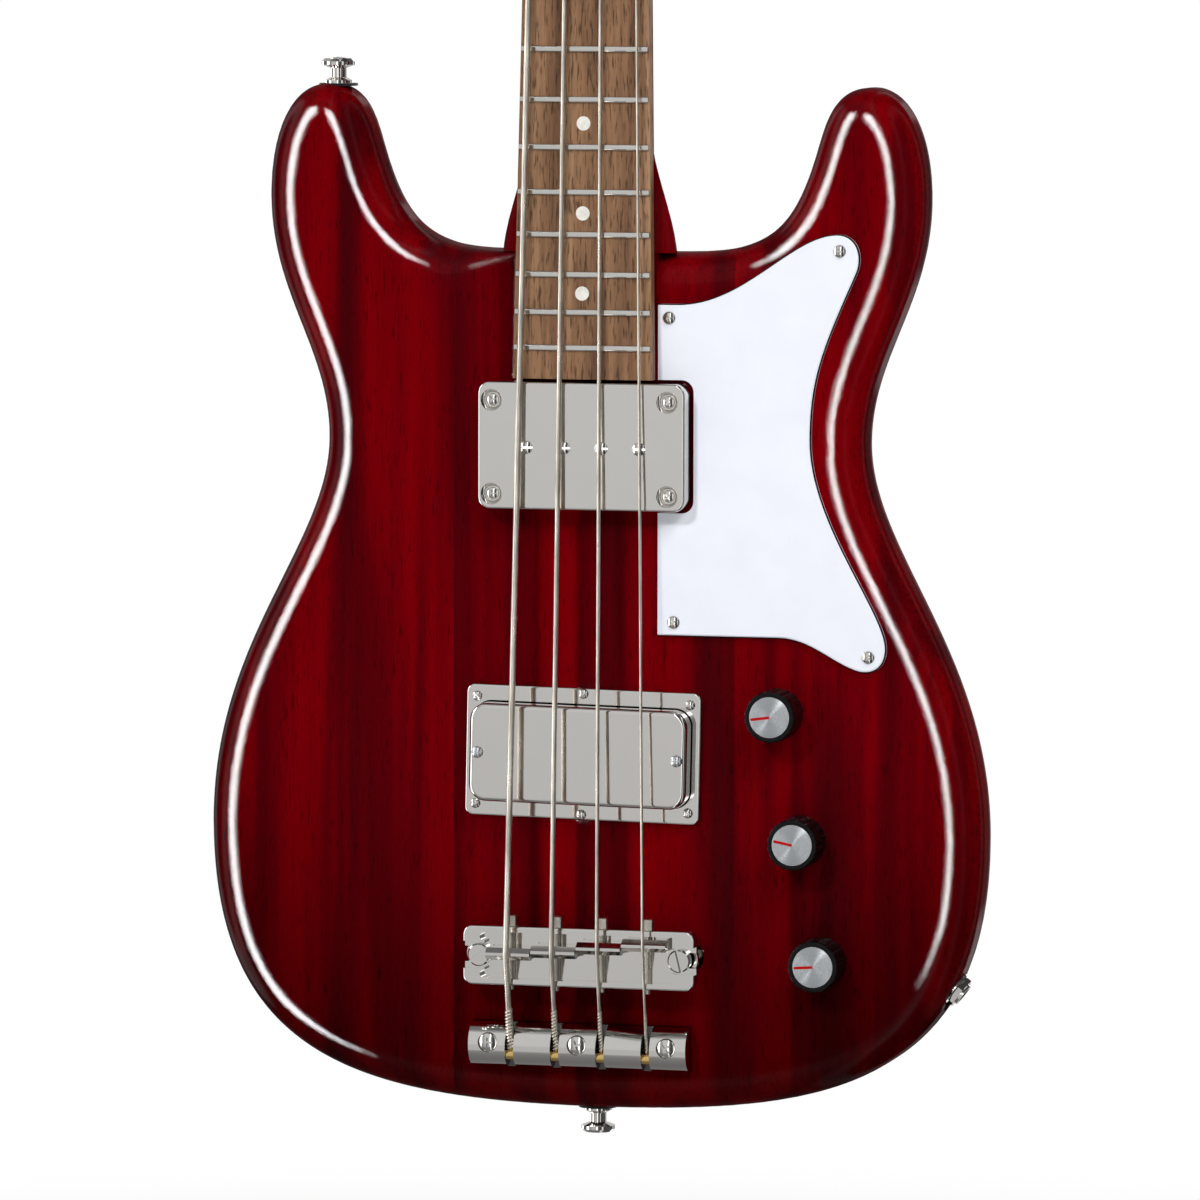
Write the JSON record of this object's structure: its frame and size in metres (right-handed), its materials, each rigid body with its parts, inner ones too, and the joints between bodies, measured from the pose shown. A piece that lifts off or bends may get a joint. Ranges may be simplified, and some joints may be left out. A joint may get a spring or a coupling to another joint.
{
  "type": "electric bass guitar",
  "caption": "Solid-body double-cutaway electric bass guitar with a glued neck, metal pickups, open adjustable bridge, bar tailpiece, fluted knobs and geared tuners.",
  "frame": {"origin": "where the middle of the nut's front edge lies on the body's mid-thickness plane, in the neck", "axes": "+X towards the thin strings, -Y out of the face, +Z along the neck towards the headstock"},
  "size_m": [0.3274, 0.0996, 1.0329],
  "materials": {
    "cherry_lacquered_mahogany": "gloss",
    "fingerboard_wood": "satin",
    "fret_wire": "polished",
    "pearloid": "gloss",
    "nut_white": "satin",
    "steel": "plain",
    "black_plastic": "gloss",
    "white_plastic": "gloss",
    "nickel": "polished nickel",
    "zinc": "plated",
    "aluminium": "spun",
    "coil_tape": "matt",
    "brass": "plain",
    "wound_steel": "wound",
    "felt": "felt"
  },
  "bodies": {
    "guitar": {"body": "cherry_lacquered_mahogany", "neck": "cherry_lacquered_mahogany", "fingerboard": "fingerboard_wood", "frets": "fret_wire", "fret_markers": "pearloid", "nut": "nut_white", "truss_rod": "steel", "truss_rod_cover": "black_plastic", "oval_head_screws": "nickel", "neck_pickup_cover": "nickel", "neck_pickup_screws": "nickel", "neck_pickup_pole_screws": "nickel", "neck_pickup_coil": "coil_tape", "bridge_pickup_ring": "nickel", "pickguard": "white_plastic", "bridge_post_bushings": "nickel", "tailpiece": "nickel", "tailpiece_screws": "nickel", "string_ball_ends": "brass", "strings": "wound_steel", "tuner_bushings": "nickel", "tuner_housings": "nickel", "potentiometers": "zinc", "control_cover": "black_plastic", "output_jack": "nickel", "jack_washer": "nickel", "jack_nut": "nickel", "strap_buttons": "nickel", "strap_button_felts": "felt", "strap_button_screws": "nickel"},
    "upper_knob": {"knob_upper": "black_plastic", "knob_metal_upper": "aluminium"},
    "middle_knob": {"knob_middle": "black_plastic", "knob_metal_middle": "aluminium"},
    "lower_knob": {"knob_lower": "black_plastic", "knob_metal_lower": "aluminium"},
    "low_tuner_key": {"tuner_key_low": "nickel"},
    "low_tuner_post": {"tuner_post_low": "nickel"},
    "second_tuner_key": {"tuner_key_second": "nickel"},
    "second_tuner_post": {"tuner_post_second": "nickel"},
    "third_tuner_key": {"tuner_key_third": "nickel"},
    "third_tuner_post": {"tuner_post_third": "nickel"},
    "high_tuner_key": {"tuner_key_high": "nickel"},
    "high_tuner_post": {"tuner_post_high": "nickel"},
    "bridge": {"bridge_frame": "nickel"},
    "bass_bridge_post": {"bridge_post_bass": "nickel"},
    "treble_bridge_post": {"bridge_post_treble": "nickel"},
    "low_saddle": {"saddle_low": "nickel"},
    "low_saddle_screw": {"saddle_screw_low": "zinc"},
    "second_saddle": {"saddle_second": "nickel"},
    "second_saddle_screw": {"saddle_screw_second": "zinc"},
    "third_saddle": {"saddle_third": "nickel"},
    "third_saddle_screw": {"saddle_screw_third": "zinc"},
    "high_saddle": {"saddle_high": "nickel"},
    "high_saddle_screw": {"saddle_screw_high": "zinc"},
    "bridge_pickup": {"bridge_pickup_cover": "nickel", "bridge_pickup_coil": "coil_tape"},
    "bass_pickup_screw": {"pickup_height_screw_bass": "nickel"},
    "treble_pickup_screw": {"pickup_height_screw_treble": "nickel"}
  },
  "joints": [
    {"name": "upper_knob_turn", "type": "hinge", "parent": "guitar", "child": "upper_knob", "pos_m": [0.0803, -0.0175, -0.6789], "axis": [0, 1, 0], "range_deg": [-150, 150]},
    {"name": "middle_knob_turn", "type": "hinge", "parent": "guitar", "child": "middle_knob", "pos_m": [0.08991, -0.0175, -0.7308], "axis": [0, 1, 0], "range_deg": [-150, 150]},
    {"name": "lower_knob_turn", "type": "hinge", "parent": "guitar", "child": "lower_knob", "pos_m": [0.0987, -0.0175, -0.7804], "axis": [0, 1, 0], "range_deg": [-150, 150]},
    {"name": "low_tuner_key_turn", "type": "hinge", "parent": "guitar", "child": "low_tuner_key", "pos_m": [-0.054, 0.02877, 0.04148], "axis": [-1, 0, 0], "continuous": true, "deforming": ["strings"]},
    {"name": "low_tuner_post_turn", "type": "hinge", "parent": "guitar", "child": "low_tuner_post", "pos_m": [-0.024, 0.01023, 0.05498], "axis": [0, -0.9629, 0.2698], "continuous": true, "deforming": ["strings"]},
    {"name": "second_tuner_key_turn", "type": "hinge", "parent": "guitar", "child": "second_tuner_key", "pos_m": [-0.051, 0.04657, 0.10503], "axis": [-1, 0, 0], "continuous": true, "deforming": ["strings"]},
    {"name": "second_tuner_post_turn", "type": "hinge", "parent": "guitar", "child": "second_tuner_post", "pos_m": [-0.021, 0.02803, 0.11854], "axis": [0, -0.9629, 0.2698], "continuous": true, "deforming": ["strings"]},
    {"name": "third_tuner_key_turn", "type": "hinge", "parent": "guitar", "child": "third_tuner_key", "pos_m": [0.051, 0.04657, 0.10503], "axis": [1, 0, 0], "continuous": true, "deforming": ["strings"]},
    {"name": "third_tuner_post_turn", "type": "hinge", "parent": "guitar", "child": "third_tuner_post", "pos_m": [0.021, 0.02803, 0.11854], "axis": [0, -0.9629, 0.2698], "continuous": true, "deforming": ["strings"]},
    {"name": "high_tuner_key_turn", "type": "hinge", "parent": "guitar", "child": "high_tuner_key", "pos_m": [0.054, 0.02877, 0.04148], "axis": [1, 0, 0], "continuous": true, "deforming": ["strings"]},
    {"name": "high_tuner_post_turn", "type": "hinge", "parent": "guitar", "child": "high_tuner_post", "pos_m": [0.024, 0.01023, 0.05498], "axis": [0, -0.9629, 0.2698], "continuous": true, "deforming": ["strings"]},
    {"name": "bridge_lift", "type": "slide", "parent": "guitar", "child": "bridge", "axis": [0, -1, 0], "range_m": [-0.002, 0.004], "deforming": ["strings"]},
    {"name": "bass_bridge_post_turn", "type": "hinge", "parent": "bridge", "child": "bass_bridge_post", "pos_m": [-0.0423, -0.0275, -0.78], "axis": [0, -1, 0], "range_deg": [-721, 1441]},
    {"name": "treble_bridge_post_turn", "type": "hinge", "parent": "bridge", "child": "treble_bridge_post", "pos_m": [0.0423, -0.0275, -0.78], "axis": [0, -1, 0], "range_deg": [-721, 1441]},
    {"name": "low_saddle_screw_turn", "type": "hinge", "parent": "bridge", "child": "low_saddle_screw", "pos_m": [-0.0288, -0.0318, -0.7789], "axis": [0, 0, -1], "range_deg": [-5401, 3817]},
    {"name": "low_saddle_slide", "type": "slide", "parent": "bridge", "child": "low_saddle", "axis": [0, 0, 1], "range_m": [-0.0075, 0.0053], "deforming": ["strings"]},
    {"name": "second_saddle_screw_turn", "type": "hinge", "parent": "bridge", "child": "second_saddle_screw", "pos_m": [-0.0096, -0.0318, -0.7776], "axis": [0, 0, -1], "range_deg": [-6337, 2881]},
    {"name": "second_saddle_slide", "type": "slide", "parent": "bridge", "child": "second_saddle", "axis": [0, 0, 1], "range_m": [-0.0088, 0.004], "deforming": ["strings"]},
    {"name": "third_saddle_screw_turn", "type": "hinge", "parent": "bridge", "child": "third_saddle_screw", "pos_m": [0.0096, -0.0318, -0.7755], "axis": [0, 0, -1], "range_deg": [-7849, 1369]},
    {"name": "third_saddle_slide", "type": "slide", "parent": "bridge", "child": "third_saddle", "axis": [0, 0, 1], "range_m": [-0.0109, 0.0019], "deforming": ["strings"]},
    {"name": "high_saddle_screw_turn", "type": "hinge", "parent": "bridge", "child": "high_saddle_screw", "pos_m": [0.0288, -0.0318, -0.7737], "axis": [0, 0, -1], "range_deg": [-9145, 73]},
    {"name": "high_saddle_slide", "type": "slide", "parent": "bridge", "child": "high_saddle", "axis": [0, 0, 1], "range_m": [-0.0127, 0.0001], "deforming": ["strings"]},
    {"name": "bridge_pickup_lift", "type": "slide", "parent": "guitar", "child": "bridge_pickup", "axis": [0, -1, 0], "range_m": [-0.003, 0.002]},
    {"name": "bass_pickup_screw_turn", "type": "hinge", "parent": "bridge_pickup", "child": "bass_pickup_screw", "pos_m": [-0.04374, -0.0175, -0.69669], "axis": [0, -1, 0], "range_deg": [-2161, 1441]},
    {"name": "treble_pickup_screw_turn", "type": "hinge", "parent": "bridge_pickup", "child": "treble_pickup_screw", "pos_m": [0.04034, -0.0175, -0.69831], "axis": [0, -1, 0], "range_deg": [-2161, 1441]}
  ],
  "couplings": [
    {"joint": "low_tuner_post_turn", "follows": "low_tuner_key_turn", "ratio": 0.05},
    {"joint": "second_tuner_post_turn", "follows": "second_tuner_key_turn", "ratio": 0.05},
    {"joint": "third_tuner_post_turn", "follows": "third_tuner_key_turn", "ratio": 0.05},
    {"joint": "high_tuner_post_turn", "follows": "high_tuner_key_turn", "ratio": 0.05},
    {"joint": "bass_bridge_post_turn", "follows": "bridge_lift", "rad_per_m": 6283.2},
    {"joint": "treble_bridge_post_turn", "follows": "bridge_lift", "rad_per_m": 6283.2},
    {"joint": "low_saddle_screw_turn", "follows": "low_saddle_slide", "rad_per_m": 12566},
    {"joint": "second_saddle_screw_turn", "follows": "second_saddle_slide", "rad_per_m": 12566},
    {"joint": "third_saddle_screw_turn", "follows": "third_saddle_slide", "rad_per_m": 12566},
    {"joint": "high_saddle_screw_turn", "follows": "high_saddle_slide", "rad_per_m": 12566},
    {"joint": "bass_pickup_screw_turn", "follows": "bridge_pickup_lift", "rad_per_m": 12566},
    {"joint": "treble_pickup_screw_turn", "follows": "bridge_pickup_lift", "rad_per_m": 12566}
  ]
}
